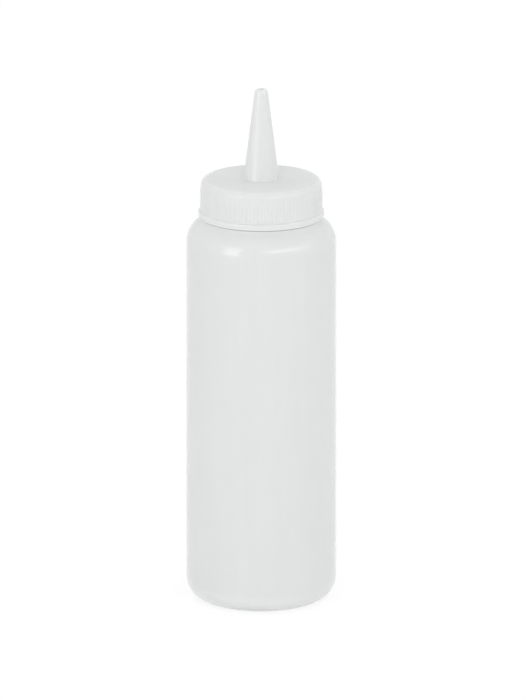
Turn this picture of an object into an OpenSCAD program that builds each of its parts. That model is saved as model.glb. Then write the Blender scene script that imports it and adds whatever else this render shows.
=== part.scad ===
// Squeeze bottle for sauce: a blown body with a threaded neck, a sealing washer,
// and a one-piece screw cap that carries a tapered pouring nozzle.
// Z is up, and the origin is the middle of the foot on the table.

/* [Body] */
// Outside diameter of the straight body
body_d = 57; // [54:0.5:64]
// Height at which the straight wall ends and the shoulder begins
shoulder_z = 140; // [90:1:180]
// Thickness of the blown wall
wall = 1; // [0.7:0.05:1.3]
// Radius of the edge between the wall and the foot
foot_round = 8; // [5:0.5:10]
// Width of the flat ring that the bottle stands on
foot_w = 3.5; // [2:0.25:5]
// Height of the pushed-up middle of the base
push_up = 2.5; // [1:0.1:4]
// Distance over which the shoulder turns from upright to level
shoulder_run = 17.2; // [15:0.1:19]
// Height of that turn
shoulder_rise = 12.1; // [9:0.1:15]
// Fullness of the shoulder curve, where 2 is an ellipse
shoulder_power = 2.15; // [2:0.05:2.5]
// Length of the pinched seam under the base
seam_l = 24; // [12:1:28]
// Width of that seam
seam_w = 0.8; // [0.5:0.1:1.5]
// Height by which that seam stands out of the base
seam_h = 0.35; // [0.2:0.05:0.6]

/* [Neck] */
// Outside diameter of the neck between its thread turns
neck_d = 40.6; // [38:0.1:42]
// Thickness of the neck wall
neck_wall = 1.8; // [1.4:0.1:2.4]
// Height of the neck above the shoulder
neck_h = 11.9; // [11.3:0.05:16]
// Outside diameter of the level ring round the neck, under the cap's rim
land_d = 46.5; // [44.5:0.1:46.9]
// Width of the slope from that ring down to the shoulder
land_slope = 0.7; // [0.3:0.1:1]
// Chamfer on both edges of the mouth
mouth_chamfer = 0.3; // [0.1:0.05:0.5]

/* [Thread] */
// Climb of the thread in one turn
thread_lead = 4.23; // [3.8:0.01:4.6]
// Turns of thread on the neck, and on the cap
thread_turns = 1.25; // [1:0.05:1.4]
// Height by which the thread stands off its wall
thread_depth = 1; // [0.7:0.05:1.2]
// Height of the thread ridge at its crest
thread_crest = 1; // [0.6:0.1:1.2]
// Height of the thread ridge at its foot
thread_foot = 2.2; // [1.8:0.1:2.4]
// Depth of the top end of the neck thread under the mouth, to its middle
thread_start = 2.2; // [1.8:0.1:3]
// Angle over which each end of a ridge fades into its wall
thread_fade = 30; // [15:5:60]

/* [Cap] */
// Thickness of the flat top
cap_top_t = 1.5; // [1.2:0.1:2.2]
// Thickness of the skirt at the floor of its grooves
skirt_wall = 1.25; // [1:0.05:1.6]
// Depth of the grooves at the top of the skirt
rib_depth = 0.1; // [0.05:0.05:0.3]
// Growth of the skirt's radius below its top
skirt_flare = 0.25; // [0.1:0.05:0.5]
// Height over which the skirt grows
flare_h = 3; // [1:0.5:6]
// Number of grip ribs
rib_count = 100; // [60:1:120]
// Share of the pitch that a rib fills at its foot
rib_foot_share = 0.82; // [0.7:0.02:0.86]
// Share of the pitch that a rib fills at its crest
rib_crest_share = 0.56; // [0.4:0.02:0.64]
// Radius of the edge between the skirt and the top
cap_round = 2.5; // [1.5:0.05:3]
// Height of the bead around the rim
bead_h = 2.5; // [1.6:0.1:3]
// Distance by which the bead stands out of the skirt, and the radius of its edges
bead_out = 0.7; // [0.3:0.05:0.8]
// Chamfer inside the rim, which leads the cap onto the neck
rim_chamfer = 0.8; // [0.3:0.1:1]

/* [Nozzle] */
// Height of the nozzle above the cap's flat top
nozzle_h = 35; // [20:0.1:50]
// Outside diameter of the nozzle where it leaves the cap
nozzle_base_d = 13.5; // [11:0.1:20]
// Outside diameter at the tip
nozzle_tip_d = 5.1; // [4.4:0.1:6.4]
// Diameter of the hole in the tip
tip_bore_d = 2.2; // [1.5:0.1:3]
// Length of that hole, up to the rounded lip's end
tip_bore_l = 4; // [3:0.5:8]
// Wall of the nozzle at its base
nozzle_wall = 1.3; // [1:0.05:2]
// Radius of the hollow corner where the nozzle leaves the cap
nozzle_fillet = 0.3; // [0.1:0.1:1.5]

/* [Washer] */
// Thickness of the sealing washer
washer_t = 1; // [0.6:0.1:1.6]
// Thickness of the ring that holds the washer in place
guide_wall = 1; // [0.8:0.1:1.5]
// Length of that ring under the washer
guide_l = 2; // [1:0.25:4]

/* [Clearances] */
// Gap between a thread's crest and the wall it faces
crest_gap = 0.35; // [0.25:0.05:0.6]
// Gap between the loaded flanks of the two threads
flank_gap = 0.2; // [0.1:0.05:0.3]
// Gap between the cap's rim and the level ring under it
rim_gap = 0.3; // [0.2:0.05:1]
// Gap between the guide ring and the mouth
guide_gap = 0.5; // [0.3:0.05:0.8]
// Gap at the washer's inner and outer edges
washer_gap = 0.25; // [0.15:0.05:0.35]

/* [Hidden] */
$fn = 128;
// Steps in a turn of thread, in a rounded corner and in a long curve
turn_steps = 48;
corner_steps = 6;
curve_steps = 14;
// Distance that a ridge is sunk into the wall it stands on
embed = 0.5;
// Distance that a cutter runs past what it cuts
over = 0.5;

body_r = body_d / 2;
neck_r = neck_d / 2;
mouth_r = neck_r - neck_wall;
// Radius at which the shoulder curve would turn level
shoulder_axis_r = body_r - shoulder_run;
foot_out_r = body_r - foot_round;
foot_in_r = foot_out_r - foot_w;
neck_z = shoulder_height(neck_r);
neck_top = neck_z + neck_h;
cap_bore_r = neck_r + thread_depth + crest_gap;
land_r = land_d / 2;
land_z = shoulder_height(cap_bore_r);

ceiling_z = neck_top + washer_t;
cap_top = ceiling_z + cap_top_t;
rim_in_r = cap_bore_r + rim_chamfer;
rim_z = land_z + rim_gap;
groove_r = cap_bore_r + skirt_wall;
skirt_top_r = groove_r + rib_depth;
skirt_rim_r = skirt_top_r + skirt_flare;
bead_r = skirt_rim_r + bead_out;
groove_low = rim_z + bead_h;
groove_high = cap_top - cap_round;
rib_pitch = 360 / rib_count;

nozzle_r = nozzle_base_d / 2;
tip_r = nozzle_tip_d / 2;
tip_bore_r = tip_bore_d / 2;
lip_round = tip_r - tip_bore_r;
nozzle_top = cap_top + nozzle_h;

guide_r = mouth_r - guide_gap;
washer_in_r = guide_r + washer_gap;
washer_out_r = cap_bore_r - washer_gap;

// Half heights of a ridge, and their change with each millimetre of depth
crest_half = thread_crest / 2;
foot_half = thread_foot / 2;
flank_slope = (foot_half - crest_half) / thread_depth;
// Height between the middles of the two ridges when their flanks are a gap apart
ridge_step = 2 * crest_half + flank_slope * (thread_depth + crest_gap) + flank_gap;
neck_thread_z = neck_top - thread_start - thread_turns * thread_lead;
cap_thread_z = neck_thread_z - ridge_step;

// Points on an arc, from one angle to another
function arc(r0, z0, r, from, to, steps = corner_steps) = [
    for (i = [0:steps])
        let (a = from + (to - from) * i / steps)
            [r0 + r * cos(a), z0 + r * sin(a)]
];

// Height of a shoulder curve at a radius; inset is the depth under the outer surface
function shoulder_height(r, inset = 0) =
    let (across = (r - shoulder_axis_r) / (shoulder_run - inset))
        shoulder_z + (shoulder_rise - inset)
            * pow(1 - pow(across, shoulder_power), 1 / shoulder_power);

// Angle up the shoulder curve at a radius, 0 at the wall
function shoulder_angle(r, inset = 0) =
    acos(pow((r - shoulder_axis_r) / (shoulder_run - inset), shoulder_power / 2));

// Points up the shoulder, evenly spaced in angle, from one angle to another
function shoulder_curve(from, to, inset = 0, steps = curve_steps) = [
    for (i = [0:steps])
        let (across = pow(cos(from + (to - from) * i / steps), 2 / shoulder_power))
        let (r = shoulder_axis_r + (shoulder_run - inset) * across)
            [r, shoulder_height(r, inset)]
];

// Points across the pushed-up base, from the axis out to the foot, at a depth
function base_curve(inset = 0) = [
    for (i = [0:corner_steps])
        let (t = i / corner_steps)
            [foot_in_r * t, push_up * (1 - t * t) + inset]
];

function reversed(points) = [for (i = [len(points) - 1:-1:0]) points[i]];

// How far a ridge stands out at a share of its length, from 0 at its ends to 1
function ridge_share(t, length) = min(1, t * length / thread_fade, (1 - t) * length / thread_fade);

// One section of a ridge: side is 1 on an outside thread and -1 on an inside one
function ridge_section(a, z, wall_r, side, share) =
    let (foot_r = wall_r - side * embed)
    let (crest_r = wall_r + side * (thread_depth * share - (1 - share) * embed / 4))
    let (sunk_half = foot_half + flank_slope * embed)
    [
        for (p = [[foot_r, -sunk_half], [crest_r, -crest_half], [crest_r, crest_half], [foot_r, sunk_half]])
            [p[0] * cos(a), p[0] * sin(a), z + p[1]]
    ];

// A helical ridge on a round wall
module ridge(wall_r, side, first_z) {
    length = 360 * thread_turns;
    steps = ceil(turn_steps * thread_turns);
    points = [
        for (i = [0:steps])
            each ridge_section(length * i / steps, first_z + thread_lead * thread_turns * i / steps,
                               wall_r, side, ridge_share(i / steps, length))
    ];
    sides = [
        for (i = [0:steps - 1], k = [0:3])
            let (n = (k + 1) % 4)
                [4 * i + k, 4 * i + n, 4 * i + 4 + n, 4 * i + 4 + k]
    ];
    ends = [[3, 2, 1, 0], [for (k = [0:3]) 4 * steps + k]];
    faces = concat(sides, ends);
    flipped = [for (f = faces) reversed(f)];
    polyhedron(points = points, faces = side > 0 ? faces : flipped, convexity = 10);
}

// The shell of the body and neck, turned about its axis
module blown_shell() {
    inner_foot_r = foot_round - wall;
    rotate_extrude()
        polygon(concat(
            base_curve(),
            arc(foot_out_r, foot_round, foot_round, -90, 0, curve_steps),
            shoulder_curve(0, shoulder_angle(land_r + land_slope)),
            [[land_r, land_z]],
            shoulder_curve(shoulder_angle(cap_bore_r), shoulder_angle(neck_r), 0, corner_steps),
            [[neck_r, neck_top - mouth_chamfer]],
            [[neck_r - mouth_chamfer, neck_top]],
            [[mouth_r + mouth_chamfer, neck_top]],
            [[mouth_r, neck_top - mouth_chamfer]],
            reversed(shoulder_curve(0, shoulder_angle(mouth_r, wall), wall)),
            arc(foot_out_r, foot_round, inner_foot_r, 0, -90, curve_steps),
            reversed(base_curve(wall))
        ));
}

// The raised seam where the mould pinched the blown tube shut
module pinch_seam() {
    intersection() {
        translate([0, 0, -seam_h])
            rotate_extrude()
                polygon(concat(base_curve(), reversed(base_curve(wall))));
        translate([-seam_l / 2, -seam_w / 2, -seam_h])
            cube([seam_l, seam_w, push_up + wall + seam_h]);
    }
}

module bottle() {
    color([0.9, 0.91, 0.905])
        union() {
            blown_shell();
            pinch_seam();
            ridge(neck_r, 1, neck_thread_z);
        }
}

module sealing_washer() {
    color([0.82, 0.84, 0.85])
        translate([0, 0, neck_top])
            difference() {
                cylinder(r = washer_out_r, h = washer_t);
                translate([0, 0, -over])
                    cylinder(r = washer_in_r, h = washer_t + 2 * over);
            }
}

// The smooth outside and inside of the cap, turned about its axis
module cap_shell() {
    nozzle_hollow_r = nozzle_r - nozzle_wall;
    guide_low = neck_top - guide_l;
    rotate_extrude()
        polygon(concat(
            [[cap_bore_r, rim_z + rim_chamfer]],
            [[rim_in_r, rim_z]],
            arc(skirt_rim_r, rim_z + bead_out, bead_out, -90, 0),
            arc(skirt_rim_r, groove_low - bead_out, bead_out, 0, 90),
            [[skirt_rim_r, groove_high - flare_h]],
            arc(skirt_top_r - cap_round, groove_high, cap_round, 0, 90, curve_steps),
            arc(nozzle_r + nozzle_fillet, cap_top + nozzle_fillet, nozzle_fillet, 270, 180),
            arc(tip_bore_r, nozzle_top - lip_round, lip_round, 0, 90),
            [[tip_bore_r, nozzle_top - tip_bore_l]],
            [[nozzle_hollow_r, ceiling_z]],
            [[guide_r - guide_wall, ceiling_z]],
            [[guide_r - guide_wall, guide_low]],
            [[guide_r - guide_wall / 2, guide_low]],
            [[guide_r, guide_low + guide_wall / 2]],
            [[guide_r, ceiling_z]],
            [[cap_bore_r, ceiling_z]]
        ));
}

// A sleeve with a rib profile inside it, which leaves the grip ribs when it is cut away
module groove_cutter() {
    rib_top_r = skirt_rim_r + over / 2;
    foot_a = rib_pitch * rib_foot_share / 2;
    crest_a = rib_pitch * rib_crest_share / 2;
    translate([0, 0, groove_low])
        linear_extrude(height = groove_high - groove_low)
            difference() {
                circle(r = bead_r + over);
                polygon([
                    for (i = [0:rib_count - 1], p = [[groove_r, -foot_a], [rib_top_r, -crest_a],
                                                     [rib_top_r, crest_a], [groove_r, foot_a]])
                        let (a = (i + 0.5) * rib_pitch + p[1])
                            [p[0] * cos(a), p[0] * sin(a)]
                ]);
            }
}

module nozzle_cap() {
    color([0.91, 0.92, 0.915])
        union() {
            difference() {
                cap_shell();
                groove_cutter();
            }
            ridge(cap_bore_r, -1, cap_thread_z);
        }
}

bottle();
sealing_washer();
nozzle_cap();
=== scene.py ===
"""Looks of a milky squeeze bottle with a ribbed screw cap and a tapered nozzle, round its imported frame."""

import math

import bpy
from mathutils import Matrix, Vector


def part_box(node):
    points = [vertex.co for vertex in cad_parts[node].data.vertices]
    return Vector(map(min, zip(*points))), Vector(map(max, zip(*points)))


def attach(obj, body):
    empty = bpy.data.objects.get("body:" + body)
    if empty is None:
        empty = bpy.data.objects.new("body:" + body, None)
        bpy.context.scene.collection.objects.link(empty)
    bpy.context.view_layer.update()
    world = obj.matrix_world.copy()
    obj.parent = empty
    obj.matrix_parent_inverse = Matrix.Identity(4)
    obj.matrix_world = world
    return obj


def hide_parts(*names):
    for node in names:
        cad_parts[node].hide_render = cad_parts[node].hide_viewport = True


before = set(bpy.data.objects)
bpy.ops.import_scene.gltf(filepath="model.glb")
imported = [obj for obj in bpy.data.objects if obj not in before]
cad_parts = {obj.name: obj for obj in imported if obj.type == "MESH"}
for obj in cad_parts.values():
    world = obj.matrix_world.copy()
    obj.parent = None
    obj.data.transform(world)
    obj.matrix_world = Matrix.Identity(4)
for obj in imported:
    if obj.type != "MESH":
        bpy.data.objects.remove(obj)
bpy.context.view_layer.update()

# Sizes in metres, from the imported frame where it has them

MM = 0.001

bottle_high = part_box("bottle")[1]
washer_low, washer_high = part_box("sealing_washer")
cap_low, cap_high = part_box("nozzle_cap")

BODY_R = bottle_high[0]
NECK_TOP = bottle_high[2]
CEILING_Z = washer_high[2]
WASHER_OUT_R = washer_high[0]
RIM_Z = cap_low[2]
BEAD_R = cap_high[0]
TIP_Z = cap_high[2]

# The blown body
WALL = 1.0 * MM
FOOT_ROUND = 8.0 * MM
FOOT_W = 3.5 * MM
PUSH_UP = 2.5 * MM
SHOULDER_Z = 140.0 * MM
SHOULDER_RUN = 17.2 * MM
SHOULDER_RISE = 12.1 * MM
SHOULDER_POWER = 2.15
SHOULDER_AXIS_R = BODY_R - SHOULDER_RUN
FOOT_OUT_R = BODY_R - FOOT_ROUND
FOOT_IN_R = FOOT_OUT_R - FOOT_W

# The neck and its mouth
NECK_R = 20.3 * MM
MOUTH_R = NECK_R - 1.8 * MM
MOUTH_ROUND = 0.35 * MM

# The thread, on the neck and in the cap
THREAD_LEAD = 4.23 * MM
THREAD_TURNS = 1.25
THREAD_DEPTH = 1.0 * MM
CREST_HALF = 0.5 * MM
FOOT_HALF = 1.1 * MM
THREAD_FADE = math.radians(30.0)
CREST_GAP = 0.35 * MM
FLANK_GAP = 0.2 * MM
FLANK_SLOPE = (FOOT_HALF - CREST_HALF) / THREAD_DEPTH
RIDGE_STEP = 2 * CREST_HALF + FLANK_SLOPE * (THREAD_DEPTH + CREST_GAP) + FLANK_GAP
NECK_THREAD_Z = NECK_TOP - 2.2 * MM - THREAD_TURNS * THREAD_LEAD
CAP_THREAD_Z = NECK_THREAD_Z - RIDGE_STEP

# The level ring on the shoulder, under the cap's rim
CAP_BORE_R = NECK_R + THREAD_DEPTH + CREST_GAP
LAND_R = 23.25 * MM
LAND_SLOPE = 0.7 * MM
# How far the ring's outer edge is broken, and stands higher than in the solid, by trial against the photograph
LAND_BREAK = 0.1 * MM
LAND_DROP = 0.15 * MM

# The cap's skirt, bead and grip ribs
CAP_TOP = CEILING_Z + 1.5 * MM
CAP_ROUND = 2.5 * MM
GROOVE_R = CAP_BORE_R + 1.25 * MM
SKIRT_TOP_R = GROOVE_R + 0.1 * MM
BEAD_OUT = 0.7 * MM
SKIRT_RIM_R = BEAD_R - BEAD_OUT
FLARE_H = 3.0 * MM
BEAD_H = 2.5 * MM
RIM_CHAMFER = 0.8 * MM
BEAD_FILLET = 0.15 * MM
RIB_COUNT = 100
RIB_LOW = RIM_Z + BEAD_H
RIB_HIGH = CAP_TOP - CAP_ROUND
RIB_RAMP = 0.7 * MM
# Half the groove's width as a share of the ribs' pitch
# The share of the solid's groove depth that is drawn here, by trial, as the photograph's ribs are fainter
GROOVE_HALF = 0.22
GROOVE_SHOWN = 0.35

# The nozzle, the guide ring inside the mouth, and the washer's hole
NOZZLE_R = 6.75 * MM
TIP_R = 2.55 * MM
TIP_BORE_R = 1.1 * MM
TIP_BORE_L = 4.0 * MM
NOZZLE_FILLET = 0.3 * MM
NOZZLE_WALL = 1.3 * MM
GUIDE_R = MOUTH_R - 0.5 * MM
GUIDE_WALL = 1.0 * MM
GUIDE_LOW = NECK_TOP - 2.0 * MM
WASHER_IN_R = GUIDE_R + 0.25 * MM

# Broken edges inside the cap
BREAK = 0.3 * MM
FINE_BREAK = 0.1 * MM

# The mould's parting line, the wall's slight waves, and the pinched seam under the base: usual on blown
# bottles, but not measured in the photograph
PARTING_HALF = 0.3 * MM
PARTING_H = 0.05 * MM
PARTING_RISE = 3.0 * MM
WAVE_LOW = 1.0 * MM
WAVE_RISE = 12.0 * MM
WAVE_HIGH = SHOULDER_Z + 8.0 * MM
WAVE_FALL = 14.0 * MM
SEAM_L = 24.0 * MM
SEAM_W = 0.8 * MM
SEAM_H = 0.35 * MM
SEAM_TAPER = 2.0 * MM


# Outlines, as lists of (radius, height)

def arc(r0, z0, radius, start, end, steps=8):
    """Points on an arc, from one angle to another in degrees."""
    points = []
    for i in range(steps + 1):
        a = math.radians(start + (end - start) * i / steps)
        points.append((r0 + radius * math.cos(a), z0 + radius * math.sin(a)))
    return points


def line(r0, z0, r1, z1, steps):
    """Points along a straight line, both ends included."""
    return [(r0 + (r1 - r0) * i / steps, z0 + (z1 - z0) * i / steps) for i in range(steps + 1)]


def shoulder_height(radius, inset=0.0):
    """Height of the shoulder at a radius, at a depth under its outer surface."""
    across = (radius - SHOULDER_AXIS_R) / (SHOULDER_RUN - inset)
    up = (1 - across ** SHOULDER_POWER) ** (1 / SHOULDER_POWER)
    return SHOULDER_Z + (SHOULDER_RISE - inset) * up


def shoulder_angle(radius, inset=0.0):
    """Angle up the shoulder curve at a radius, 0 at the straight wall."""
    return math.acos(((radius - SHOULDER_AXIS_R) / (SHOULDER_RUN - inset)) ** (SHOULDER_POWER / 2))


def shoulder_curve(start, end, inset=0.0, steps=26):
    """Points up the shoulder, evenly spaced between two angles."""
    points = []
    for i in range(steps + 1):
        across = math.cos(start + (end - start) * i / steps) ** (2 / SHOULDER_POWER)
        radius = SHOULDER_AXIS_R + (SHOULDER_RUN - inset) * across
        points.append((radius, shoulder_height(radius, inset)))
    return points


def base_curve(inset=0.0, steps=10):
    """Points over the pushed-up base, from near the axis out to the foot ring."""
    points = []
    for i in range(1, steps + 1):
        t = i / steps
        points.append((FOOT_IN_R * t, PUSH_UP * (1 - t * t) + inset))
    return points


# Surface detail that is carved into the meshes

def smooth_step(t):
    """0 up to 1, level at both ends."""
    t = min(1.0, max(0.0, t))
    return t * t * (3 - 2 * t)


def thread_share(a, z, first_z):
    """How far a helical ridge stands out at an angle and height, from 0 to 1."""
    best = 0.0
    for turn in range(math.ceil(THREAD_TURNS)):
        t = a / math.tau + turn
        if t > THREAD_TURNS:
            continue
        away = abs(z - first_z - THREAD_LEAD * t)
        across = smooth_step((FOOT_HALF - away) / (FOOT_HALF - CREST_HALF))
        ends = min(t, THREAD_TURNS - t) * math.tau / THREAD_FADE
        best = max(best, across * smooth_step(ends))
    return best


def wall_wave(a, z):
    """Slight unevenness of a blown wall, as a distance along its radius."""
    slow = math.sin(2 * a + 1.1) * math.sin(z / (31 * MM) + 0.4)
    quick = math.sin(5 * a + 2.3 + z / (24 * MM)) * math.sin(z / (17 * MM))
    return (0.06 * slow + 0.025 * quick) * MM


def parting_share(a):
    """The raised line where the two halves of the mould met, at +X and -X."""
    away = abs(math.sin(a)) * BODY_R
    return max(0.0, 1 - (away / PARTING_HALF) ** 2)


def body_detail(radius, z, a):
    """Radius of the body's outside after its wave and parting line."""
    fade = smooth_step((z - WAVE_LOW) / WAVE_RISE) * smooth_step((WAVE_HIGH - z) / WAVE_FALL)
    parting = PARTING_H * parting_share(a) * smooth_step(z / PARTING_RISE)
    return radius + wall_wave(a, z) * fade + parting


def neck_thread_detail(radius, z, a):
    """Radius of the neck's outside after its thread."""
    return radius + THREAD_DEPTH * thread_share(a, z, NECK_THREAD_Z)


def rib_detail(radius, z, a):
    """Radius of the skirt after its grip ribs."""
    up = smooth_step((z - RIB_LOW) / RIB_RAMP)
    down = smooth_step((RIB_HIGH + RIB_RAMP - z) / (2 * RIB_RAMP))
    off_groove = abs((RIB_COUNT * a / math.tau + 0.5) % 1.0 - 0.5)
    groove = smooth_step(1 - off_groove / GROOVE_HALF)
    depth = GROOVE_SHOWN * max(0.0, radius - GROOVE_R)
    return radius - depth * up * down * groove


def cap_thread_detail(radius, z, a):
    """Radius of the cap's inside wall after its thread."""
    return radius - THREAD_DEPTH * thread_share(a, z, CAP_THREAD_Z)


# Mesh building

def even_angles(count):
    """Angles round a full turn."""
    return [math.tau * i / count for i in range(count)]


def angles_with_parting(count):
    """Even angles with a few closer ones across the parting line."""
    near = [math.asin(PARTING_HALF * share / BODY_R) for share in (-1, -0.66, -0.33, 0, 0.33, 0.66, 1)]
    gap = near[-1] * 1.5
    angles = [a for a in even_angles(count) if min(a % math.pi, math.pi - a % math.pi) > gap]
    for middle in (0.0, math.pi):
        angles += [(middle + a) % math.tau for a in near]
    return sorted(angles)


class Skin:
    """A mesh that grows ring by ring, from rings of points round the Z axis."""

    def __init__(self):
        self.points = []
        self.faces = []
        self.rings = []

    def ring(self, radius, z, angles, detail=None):
        """Adds a ring of points, whose radius detail may change from point to point."""
        start = len(self.points)
        for a in angles:
            r = detail(radius, z, a) if detail else radius
            self.points.append((r * math.cos(a), r * math.sin(a), z))
        self.rings.append((start, len(angles)))

    def pole(self, z):
        """Adds one point on the axis, to close a skin there."""
        self.rings.append((len(self.points), 1))
        self.points.append((0.0, 0.0, z))

    def band(self, outline, angles, detail=None):
        """Adds a ring for each point of an outline."""
        for radius, z in outline:
            self.ring(radius, z, angles, detail)

    def join(self, closed):
        """Fills the space between each ring and the next, and from the last to the first if closed."""
        pairs = list(zip(self.rings, self.rings[1:]))
        if closed:
            pairs.append((self.rings[-1], self.rings[0]))
        for (first, count), (second, other) in pairs:
            if count >= other:
                self.fan(first, count, second, other, False)
            else:
                self.fan(second, other, first, count, True)

    def fan(self, many, count, few, other, flip):
        """Faces between a ring of many points and a ring of few, where many is a multiple of few."""
        share = count // other
        if other == 1:
            cells = [([many + i, many + (i + 1) % count], [few]) for i in range(count)]
        else:
            cells = []
            for i in range(other):
                run = [many + (i * share + k) % count for k in range(share + 1)]
                cells.append((run, [few + (i + 1) % other, few + i]))
        for run, back in cells:
            face = run + back
            self.faces.append(face[::-1] if flip else face)

    def build(self, name, sharp=50.0):
        """Makes the mesh, smooth but for edges past an angle in degrees."""
        mesh = bpy.data.meshes.new(name)
        mesh.from_pydata(self.points, [], self.faces)
        mesh.validate()
        mesh.polygons.foreach_set("use_smooth", [True] * len(mesh.polygons))
        mesh.set_sharp_from_angle(angle=math.radians(sharp))
        mesh.update()
        piece = bpy.data.objects.new(name, mesh)
        bpy.context.scene.collection.objects.link(piece)
        return piece


def make_bottle():
    """The blown shell: outside, mouth and inside in one closed skin."""
    angles = angles_with_parting(240)
    inner_foot_r = FOOT_ROUND - WALL
    skin = Skin()
    skin.pole(PUSH_UP)
    skin.band(base_curve(), angles)
    skin.band(line(FOOT_IN_R, 0, FOOT_OUT_R, 0, 3)[1:], angles)
    skin.band(arc(FOOT_OUT_R, FOOT_ROUND, FOOT_ROUND, -90, 0, 20)[1:], angles, body_detail)
    skin.band(line(BODY_R, FOOT_ROUND, BODY_R, SHOULDER_Z, 44)[1:], angles, body_detail)
    land_z = shoulder_height(CAP_BORE_R)
    skin.band(shoulder_curve(0.0, shoulder_angle(LAND_R + LAND_SLOPE))[1:], angles, body_detail)
    skin.band([(LAND_R + LAND_BREAK, land_z - LAND_DROP)], angles)
    skin.band([(LAND_R - LAND_BREAK, land_z + LAND_BREAK)], angles)
    skin.band(shoulder_curve(shoulder_angle(CAP_BORE_R), shoulder_angle(NECK_R), steps=8), angles)
    neck_z = shoulder_height(NECK_R)
    skin.band(line(NECK_R, neck_z, NECK_R, NECK_TOP - MOUTH_ROUND, 60)[1:], angles, neck_thread_detail)
    skin.band(arc(NECK_R - MOUTH_ROUND, NECK_TOP - MOUTH_ROUND, MOUTH_ROUND, 0, 90, 4)[1:], angles)
    skin.band(arc(MOUTH_R + MOUTH_ROUND, NECK_TOP - MOUTH_ROUND, MOUTH_ROUND, 90, 180, 4), angles)
    skin.band(shoulder_curve(0.0, shoulder_angle(MOUTH_R, WALL), WALL)[::-1], angles)
    skin.band(line(BODY_R - WALL, SHOULDER_Z, BODY_R - WALL, FOOT_ROUND, 12)[1:-1], angles)
    skin.band(arc(FOOT_OUT_R, FOOT_ROUND, inner_foot_r, 0, -90, 14), angles)
    skin.band(base_curve(WALL)[::-1], angles)
    skin.pole(PUSH_UP + WALL)
    skin.join(closed=False)
    return skin.build("bottle_shell")


def make_cap():
    """The cap with its nozzle: outside, passage and inside in one closed skin."""
    fine = even_angles(RIB_COUNT * 10)
    coarse = even_angles(RIB_COUNT * 10 // 4)
    hollow_r = NOZZLE_R - NOZZLE_WALL
    guide_in_r = GUIDE_R - GUIDE_WALL
    lip_round = TIP_R - TIP_BORE_R
    skin = Skin()
    skin.band(arc(SKIRT_RIM_R, RIM_Z + BEAD_OUT, BEAD_OUT, -90, 0, 6), fine)
    skin.band(arc(SKIRT_RIM_R, RIB_LOW - BEAD_OUT, BEAD_OUT, 0, 72, 5), fine)
    skin.band(arc(SKIRT_RIM_R + BEAD_FILLET, RIB_LOW + BEAD_FILLET, BEAD_FILLET, 225, 180, 3), fine)
    flare_z = RIB_HIGH - FLARE_H
    skin.band(line(SKIRT_RIM_R, RIB_LOW + 2 * BEAD_FILLET, SKIRT_RIM_R, flare_z, 14), fine, rib_detail)
    skin.band(line(SKIRT_RIM_R, flare_z, SKIRT_TOP_R, RIB_HIGH, 8)[1:], fine, rib_detail)
    skin.band(arc(SKIRT_TOP_R - CAP_ROUND, RIB_HIGH, CAP_ROUND, 0, 90, 14)[1:], fine, rib_detail)
    skin.band(line(SKIRT_TOP_R - CAP_ROUND - MM, CAP_TOP, NOZZLE_R + NOZZLE_FILLET + MM, CAP_TOP, 3), coarse)
    skin.band(arc(NOZZLE_R + NOZZLE_FILLET, CAP_TOP + NOZZLE_FILLET, NOZZLE_FILLET, 270, 184, 6), coarse)
    skin.band(line(NOZZLE_R, CAP_TOP + NOZZLE_FILLET, TIP_R, TIP_Z - lip_round, 16)[1:], coarse)
    skin.band(arc(TIP_BORE_R, TIP_Z - lip_round, lip_round, 7, 90, 10), coarse)
    skin.band(line(TIP_BORE_R, TIP_Z - BREAK, TIP_BORE_R, TIP_Z - TIP_BORE_L, 3), coarse)
    skin.band(line(TIP_BORE_R, TIP_Z - TIP_BORE_L, hollow_r, CEILING_Z + BREAK, 12)[1:], coarse)
    skin.band(line(hollow_r + BREAK, CEILING_Z, guide_in_r, CEILING_Z, 3), coarse)
    skin.band(line(guide_in_r, CEILING_Z - FINE_BREAK, guide_in_r, GUIDE_LOW + 2 * FINE_BREAK, 2), coarse)
    skin.band(arc(GUIDE_R - GUIDE_WALL / 2, GUIDE_LOW + GUIDE_WALL / 2, GUIDE_WALL / 2, 180, 360), coarse)
    skin.band([(GUIDE_R, CEILING_Z - FINE_BREAK), (GUIDE_R + FINE_BREAK, CEILING_Z)], coarse)
    skin.band([(CAP_BORE_R - BREAK, CEILING_Z), (CAP_BORE_R, CEILING_Z - BREAK)], coarse)
    wall_top = CEILING_Z - BREAK - 2 * FINE_BREAK
    inside_wall = line(CAP_BORE_R, wall_top, CAP_BORE_R, RIM_Z + RIM_CHAMFER, 62)
    skin.band(inside_wall, coarse, cap_thread_detail)
    skin.band([(CAP_BORE_R + RIM_CHAMFER, RIM_Z)], coarse)
    skin.join(closed=True)
    return skin.build("cap_with_nozzle")


def make_washer():
    """The flat washer, with its edges just broken."""
    low = washer_low[2]
    high = washer_high[2]
    edge = 0.12 * MM
    angles = even_angles(160)
    skin = Skin()
    skin.band(arc(WASHER_OUT_R - edge, low + edge, edge, -90, 0, 3), angles)
    skin.band(arc(WASHER_OUT_R - edge, high - edge, edge, 0, 90, 3), angles)
    skin.band(line(WASHER_OUT_R - MM, high, WASHER_IN_R + MM, high, 2), angles)
    skin.band(arc(WASHER_IN_R + edge, high - edge, edge, 90, 180, 3), angles)
    skin.band(arc(WASHER_IN_R + edge, low + edge, edge, 180, 270, 3), angles)
    skin.band(line(WASHER_IN_R + MM, low, WASHER_OUT_R - MM, low, 2), angles)
    skin.join(closed=True)
    return skin.build("washer")


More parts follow.
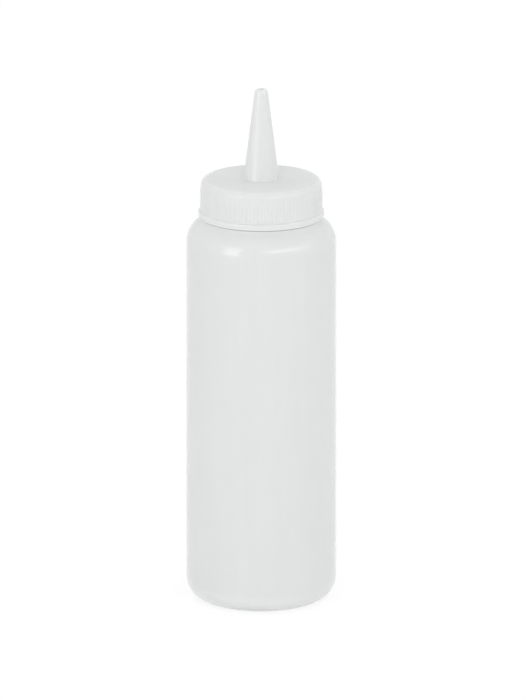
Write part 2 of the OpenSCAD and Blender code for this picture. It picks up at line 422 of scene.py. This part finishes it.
def make_pinch_seam():
    """The raised seam across the base, where the mould pinched the blown tube shut."""
    steps = 40
    points = []
    faces = []
    # Across and down, as shares of half the width and of the height
    outline = ((-1.0, 0.35), (-0.6, -0.6), (-0.2, -1.0), (0.2, -1.0), (0.6, -0.6), (1.0, 0.35))
    for i in range(steps + 1):
        x = SEAM_L * (i / steps - 0.5)
        share = 0.1 + 0.9 * smooth_step((SEAM_L / 2 - abs(x)) / SEAM_TAPER)
        base_z = PUSH_UP * (1 - (x / FOOT_IN_R) ** 2)
        for across, down in outline:
            points.append((x, across * SEAM_W / 2, base_z + down * SEAM_H * share))
    width = len(outline)
    for i in range(steps):
        for k in range(width):
            n = (k + 1) % width
            faces.append((i * width + k, i * width + n, (i + 1) * width + n, (i + 1) * width + k))
    faces.append(list(range(width))[::-1])
    faces.append([steps * width + k for k in range(width)])
    skin = Skin()
    skin.points = points
    skin.faces = faces
    return skin.build("pinch_seam", 35.0)


# Materials

PALE = (0.80, 0.815, 0.81)
DEEP = (0.785, 0.80, 0.795)
# The white that is painted into shaded places as painted light, so that their shade looks lighter
SHADE_LIFT = (0.93, 0.94, 0.935)


class Shading:
    """A material with its nodes, made by short calls that return a node's output."""

    def __init__(self, name):
        self.material = bpy.data.materials.new(name)
        self.material.use_nodes = True
        self.tree = self.material.node_tree
        self.shader = self.tree.nodes["Principled BSDF"]
        self.coords = self.tree.nodes.new("ShaderNodeTexCoord").outputs["Object"]

    def node(self, kind, **values):
        """Adds a shader node, named without its usual start, with its settings."""
        made = self.tree.nodes.new("ShaderNode" + kind)
        for key, value in values.items():
            setattr(made, key, value)
        return made

    def link(self, start, end):
        """Joins one socket to another."""
        self.tree.links.new(start, end)

    def set(self, **values):
        """Sets the shader's own sockets, with underscores for their spaces."""
        for key, value in values.items():
            self.shader.inputs[key.replace("_", " ")].default_value = value

    def stretched(self, x, y, z):
        """Object coordinates, scaled along each axis."""
        made = self.node("Mapping")
        made.inputs["Scale"].default_value = (x, y, z)
        self.link(self.coords, made.inputs["Vector"])
        return made.outputs["Vector"]

    def noise(self, scale, detail=4.0, roughness=0.5, vector=None):
        """Cloudy noise, in object coordinates unless a vector is given."""
        made = self.node("TexNoise")
        made.inputs["Scale"].default_value = scale
        made.inputs["Detail"].default_value = detail
        made.inputs["Roughness"].default_value = roughness
        self.link(vector or self.coords, made.inputs["Vector"])
        return made.outputs["Fac"]

    def ranged(self, value, low, high, to_low, to_high):
        """Maps one range of a value to another, and holds its ends."""
        made = self.node("MapRange", clamp=True)
        made.inputs["From Min"].default_value = low
        made.inputs["From Max"].default_value = high
        made.inputs["To Min"].default_value = to_low
        made.inputs["To Max"].default_value = to_high
        self.link(value, made.inputs["Value"])
        return made.outputs["Result"]

    def height(self):
        """Height of the point above the table, in metres."""
        made = self.node("SeparateXYZ")
        self.link(self.coords, made.inputs["Vector"])
        return made.outputs["Z"]

    def radius(self):
        """Distance of the point from the bottle's axis, in metres."""
        flat = self.stretched(1.0, 1.0, 0.0)
        made = self.node("VectorMath", operation="LENGTH")
        self.link(flat, made.inputs[0])
        return made.outputs["Value"]

    def math(self, operation, first, second):
        """Combines two values, each a number or another node's output."""
        made = self.node("Math", operation=operation)
        for place, value in enumerate((first, second)):
            if isinstance(value, (int, float)):
                made.inputs[place].default_value = value
            else:
                self.link(value, made.inputs[place])
        return made.outputs["Value"]

    def colour_between(self, share, first, second):
        """Mixes two colours, each written out or another node's output."""
        made = self.node("Mix", data_type="RGBA")
        places = [place for place in made.inputs if place.type == "RGBA"]
        for place, colour in zip(places, (first, second)):
            if isinstance(colour, tuple):
                place.default_value = (*colour, 1.0)
            else:
                self.link(colour, place)
        self.link(share, made.inputs["Factor"])
        return next(place for place in made.outputs if place.type == "RGBA")

    def bump(self, height, distance, strength, below=None):
        """Surface relief from a height, on top of other relief if there is any."""
        made = self.node("Bump")
        made.inputs["Distance"].default_value = distance
        made.inputs["Strength"].default_value = strength
        self.link(height, made.inputs["Height"])
        if below:
            self.link(below, made.inputs["Normal"])
        return made.outputs["Normal"]


def polyethylene(name, smooth, rough, flow):
    """Milky polyethylene: light sinks in a little, the gloss is soft, and flow lines run up it."""
    look = Shading(name)
    look.set(IOR=1.52, Subsurface_Weight=0.5, Subsurface_Radius=(1.0, 1.0, 1.0), Subsurface_Scale=1.5 * MM)
    streaks = look.noise(1.0, 3.0, 0.5, look.stretched(flow, flow, flow / 14))
    clouds = look.noise(70.0, 3.0, 0.55)
    depth = look.math("ADD", look.math("MULTIPLY", streaks, 0.5), look.math("MULTIPLY", clouds, 0.5))
    look.colour = look.colour_between(look.ranged(depth, 0.35, 0.65, 0.0, 1.0), PALE, DEEP)
    look.link(look.colour, look.shader.inputs["Base Color"])
    scuffs = look.noise(420.0, 5.0, 0.6)
    gloss = look.math("ADD", look.math("MULTIPLY", clouds, 0.5), look.math("MULTIPLY", scuffs, 0.5))
    look.roughness = look.ranged(gloss, 0.35, 0.65, smooth, rough)
    look.link(look.roughness, look.shader.inputs["Roughness"])
    waves = look.noise(1.0, 2.0, 0.5, look.stretched(flow * 0.7, flow * 0.7, flow / 18))
    wavy = look.bump(waves, 0.02 * MM, 1.0)
    lines = look.noise(1.0, 2.0, 0.5, look.stretched(flow * 3, flow * 3, flow / 8))
    lined = look.bump(lines, 0.003 * MM, 1.0, wavy)
    grain = look.bump(look.noise(1100.0, 2.0, 0.5), 0.002 * MM, 1.0, lined)
    look.link(grain, look.shader.inputs["Normal"])
    return look


def paint_out_shade(look, share):
    """Paints light into a material's shade: makes it whiter by a share that varies over its surface."""
    look.colour = look.colour_between(share, look.colour, SHADE_LIFT)
    look.link(look.colour, look.shader.inputs["Base Color"])


def bottle_plastic():
    """The bottle's plastic: painted whiter on its neck and foot as painted light against the shade under the
    cap's rim and at the floor, and less glossy near the cap's rim, by trial.
    """
    look = polyethylene("milky_polyethylene", smooth=0.13, rough=0.19, flow=300.0)
    # Painted light: the neck above the cap's rim and the foot near the floor are painted whiter to lighten the
    # shade there
    neck = look.ranged(look.height(), RIM_Z - 0.4 * MM, RIM_Z + 0.4 * MM, 0.0, 1.0)
    base = look.ranged(look.height(), 1.0 * MM, FOOT_ROUND, 1.0, 0.0)
    paint_out_shade(look, look.math("MAXIMUM", neck, base))
    shine = look.ranged(look.height(), RIM_Z - 4.0 * MM, RIM_Z - 1.5 * MM, 0.5, 0.1)
    look.link(shine, look.shader.inputs["Specular IOR Level"])
    return look.material


def cap_plastic():
    """The cap's plastic: painted whiter inside, at its rim and in the passage as painted light in their shade,
    and duller on its top, by trial.
    """
    look = polyethylene("cap_polyethylene", smooth=0.16, rough=0.24, flow=260.0)
    # Painted light: the shaded inside under the ceiling, the rim and the nozzle's passage are painted whiter
    # so that their shade looks lighter
    inner = look.ranged(look.radius(), CAP_BORE_R + 0.1 * MM, CAP_BORE_R + 0.6 * MM, 1.0, 0.0)
    under = look.ranged(look.height(), CEILING_Z - 0.1 * MM, CEILING_Z + 0.3 * MM, 1.0, 0.0)
    rim = look.ranged(look.height(), RIM_Z + 0.1 * MM, RIM_Z + 0.7 * MM, 1.0, 0.0)
    passage = look.ranged(look.radius(), TIP_BORE_R, TIP_BORE_R + 0.3 * MM, 1.0, 0.0)
    inside = look.math("MAXIMUM", look.math("MULTIPLY", inner, under), look.math("MAXIMUM", rim, passage))
    paint_out_shade(look, inside)
    above = look.ranged(look.height(), CAP_TOP - 0.04 * MM, CAP_TOP - 0.01 * MM, 0.0, 1.0)
    below = look.ranged(look.height(), CAP_TOP + 0.02 * MM, CAP_TOP + 0.06 * MM, 1.0, 0.0)
    flat = look.math("MULTIPLY", above, below)
    matt = look.math("ADD", look.roughness, look.math("MULTIPLY", flat, 0.25))
    look.link(matt, look.shader.inputs["Roughness"])
    look.link(look.ranged(flat, 0.0, 1.0, 0.35, 0.15), look.shader.inputs["Specular IOR Level"])
    return look.material


def washer_foam():
    """Pale closed-cell foam with fine pores."""
    look = Shading("washer_foam")
    look.set(IOR=1.45)
    cells = look.node("TexVoronoi")
    cells.inputs["Scale"].default_value = 3200.0
    look.link(look.coords, cells.inputs["Vector"])
    pores = look.ranged(cells.outputs["Distance"], 0.0, 0.5, 0.0, 1.0)
    shade = look.colour_between(pores, (0.60, 0.62, 0.62), (0.74, 0.76, 0.76))
    look.link(shade, look.shader.inputs["Base Color"])
    look.link(look.ranged(look.noise(900.0), 0.3, 0.7, 0.7, 0.9), look.shader.inputs["Roughness"])
    look.link(look.bump(pores, 0.05 * MM, 0.7), look.shader.inputs["Normal"])
    return look.material


def finish_piece(piece, body, material, slot_name, *nodes):
    """Gives a piece its material and its body, and hides the nodes it stands for; the slot name is not used.
    """
    piece.data.materials.append(material)
    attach(piece, body)
    if nodes:
        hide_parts(*nodes)


# Camera, floor and light

# A camera fitted to the photograph: how far off, how high and how far to the side, its tilt and its lens
CAMERA_AWAY = 5.079
CAMERA_HEIGHT = 1.4888
CAMERA_SIDE = 0.46 * MM
CAMERA_TILT = math.radians(15.321)
CAMERA_LENS = 710.6

FLOOR_HALF = 15.0
FLOOR_GLOW = 1.08
FLOOR_GLOW_SHARE = 0.75


def add_camera():
    """The view of the photograph."""
    data = bpy.data.cameras.new("camera")
    data.lens = CAMERA_LENS
    data.clip_end = 50.0
    camera = bpy.data.objects.new("camera", data)
    camera.location = (CAMERA_SIDE, -CAMERA_AWAY, CAMERA_HEIGHT)
    camera.rotation_euler = (math.pi / 2 - CAMERA_TILT, 0, 0)
    bpy.context.scene.collection.objects.link(camera)
    bpy.context.scene.camera = camera


def add_softbox(name, azimuth, elevation, distance, width, height, strength, diffuse=True, gloss=True):
    """A rectangle of light that faces the bottle; azimuth is 0 in front and grows to the right."""
    data = bpy.data.lights.new(name, "AREA")
    data.shape = "RECTANGLE"
    data.size = width
    data.size_y = height
    data.energy = strength * width * height * math.pi
    light = bpy.data.objects.new(name, data)
    a = math.radians(azimuth)
    e = math.radians(elevation)
    target = Vector((0, 0, 0.5 * TIP_Z))
    away = Vector((math.sin(a) * math.cos(e), -math.cos(a) * math.cos(e), math.sin(e)))
    light.location = target + distance * away
    light.rotation_euler = away.to_track_quat("Z", "Y").to_euler()
    light.visible_diffuse = diffuse
    light.visible_glossy = gloss
    bpy.context.scene.collection.objects.link(light)


def straight_or_mirrored(tree):
    """1 where the camera looks straight at a surface or sees it in gloss or through glass, else 0."""
    path = tree.nodes.new("ShaderNodeLightPath")
    seen = path.outputs["Is Camera Ray"]
    for name in ("Is Glossy Ray", "Is Transmission Ray"):
        either = tree.nodes.new("ShaderNodeMath")
        either.operation = "MAXIMUM"
        tree.links.new(seen, either.inputs[0])
        tree.links.new(path.outputs[name], either.inputs[1])
        seen = either.outputs[0]
    return seen


def mixed(tree, share, first, second):
    """The first shader where share is 0, and the second where it is 1."""
    mix = tree.nodes.new("ShaderNodeMixShader")
    if isinstance(share, float):
        mix.inputs["Fac"].default_value = share
    else:
        tree.links.new(share, mix.inputs["Fac"])
    tree.links.new(first, mix.inputs[1])
    tree.links.new(second, mix.inputs[2])
    return mix.outputs["Shader"]


def add_world(level):
    """Even white light all round, and plain white where it is seen directly."""
    world = bpy.data.worlds.new("studio")
    world.use_nodes = True
    tree = world.node_tree
    bpy.context.scene.world = world
    lit = tree.nodes["Background"]
    seen = tree.nodes.new("ShaderNodeBackground")
    for background, strength in ((lit, level), (seen, 1.0)):
        background.inputs["Color"].default_value = (1, 1, 1, 1)
        background.inputs["Strength"].default_value = strength
    both = mixed(tree, straight_or_mirrored(tree), lit.outputs["Background"], seen.outputs["Background"])
    tree.links.new(both, tree.nodes["World Output"].inputs["Surface"])


def add_floor():
    """A pale floor that the camera sees as white, with the bottle's shadow on it."""
    mesh = bpy.data.meshes.new("floor")
    corners = [(FLOOR_HALF * x, FLOOR_HALF * y, 0) for x, y in ((-1, -1), (1, -1), (1, 1), (-1, 1))]
    mesh.from_pydata(corners, [], [(0, 1, 2, 3)])
    floor = bpy.data.objects.new("floor", mesh)
    bpy.context.scene.collection.objects.link(floor)
    material = bpy.data.materials.new("floor")
    material.use_nodes = True
    tree = material.node_tree
    paint = tree.nodes["Principled BSDF"]
    paint.inputs["Base Color"].default_value = (0.9, 0.9, 0.9, 1)
    paint.inputs["Roughness"].default_value = 0.9
    paint.inputs["Specular IOR Level"].default_value = 0.0
    glow = tree.nodes.new("ShaderNodeEmission")
    glow.inputs["Color"].default_value = (1, 1, 1, 1)
    glow.inputs["Strength"].default_value = FLOOR_GLOW
    white = mixed(tree, FLOOR_GLOW_SHARE, paint.outputs["BSDF"], glow.outputs["Emission"])
    both = mixed(tree, straight_or_mirrored(tree), paint.outputs["BSDF"], white)
    tree.links.new(both, tree.nodes["Material Output"].inputs["Surface"])
    floor.data.materials.append(material)


# The scene

bpy.context.scene.view_settings.view_transform = "Standard"
add_camera()
add_world(0.51)
add_floor()

# Panels that light the plastic and show in no gloss; their places and strengths were set by trial
for azimuth, strength in ((-90, 0.5), (-56, 1.1), (-20, 0.35), (20, 0.5), (56, 0.5), (90, 1.0)):
    add_softbox("low_fill", azimuth, 8, 2.5, 1.53, 0.86, strength, gloss=False)
for azimuth in (-20, 20):
    add_softbox("front_fill", azimuth, 30, 2.5, 1.53, 0.97, 1.95, gloss=False)
for azimuth in (-125, 125):
    add_softbox("rear_fill", azimuth, 55, 2.5, 2.33, 1.15, 1.15, gloss=False)

# Cards that show only in the gloss, set by trial for the photograph's two soft lights on the shoulder
add_softbox("left_card", -46, 16, 2.4, 1.0, 1.56, 2.6, diffuse=False)
add_softbox("right_card", 43, 25, 2.6, 3.64, 0.6, 2.1, diffuse=False)

body_material = bottle_plastic()
finish_piece(make_bottle(), "bottle", body_material, "milky_polyethylene", "bottle")
finish_piece(make_pinch_seam(), "bottle", body_material, "milky_polyethylene")
finish_piece(make_washer(), "seal", washer_foam(), "washer_foam", "sealing_washer")
finish_piece(make_cap(), "cap", cap_plastic(), "cap_polyethylene", "nozzle_cap")
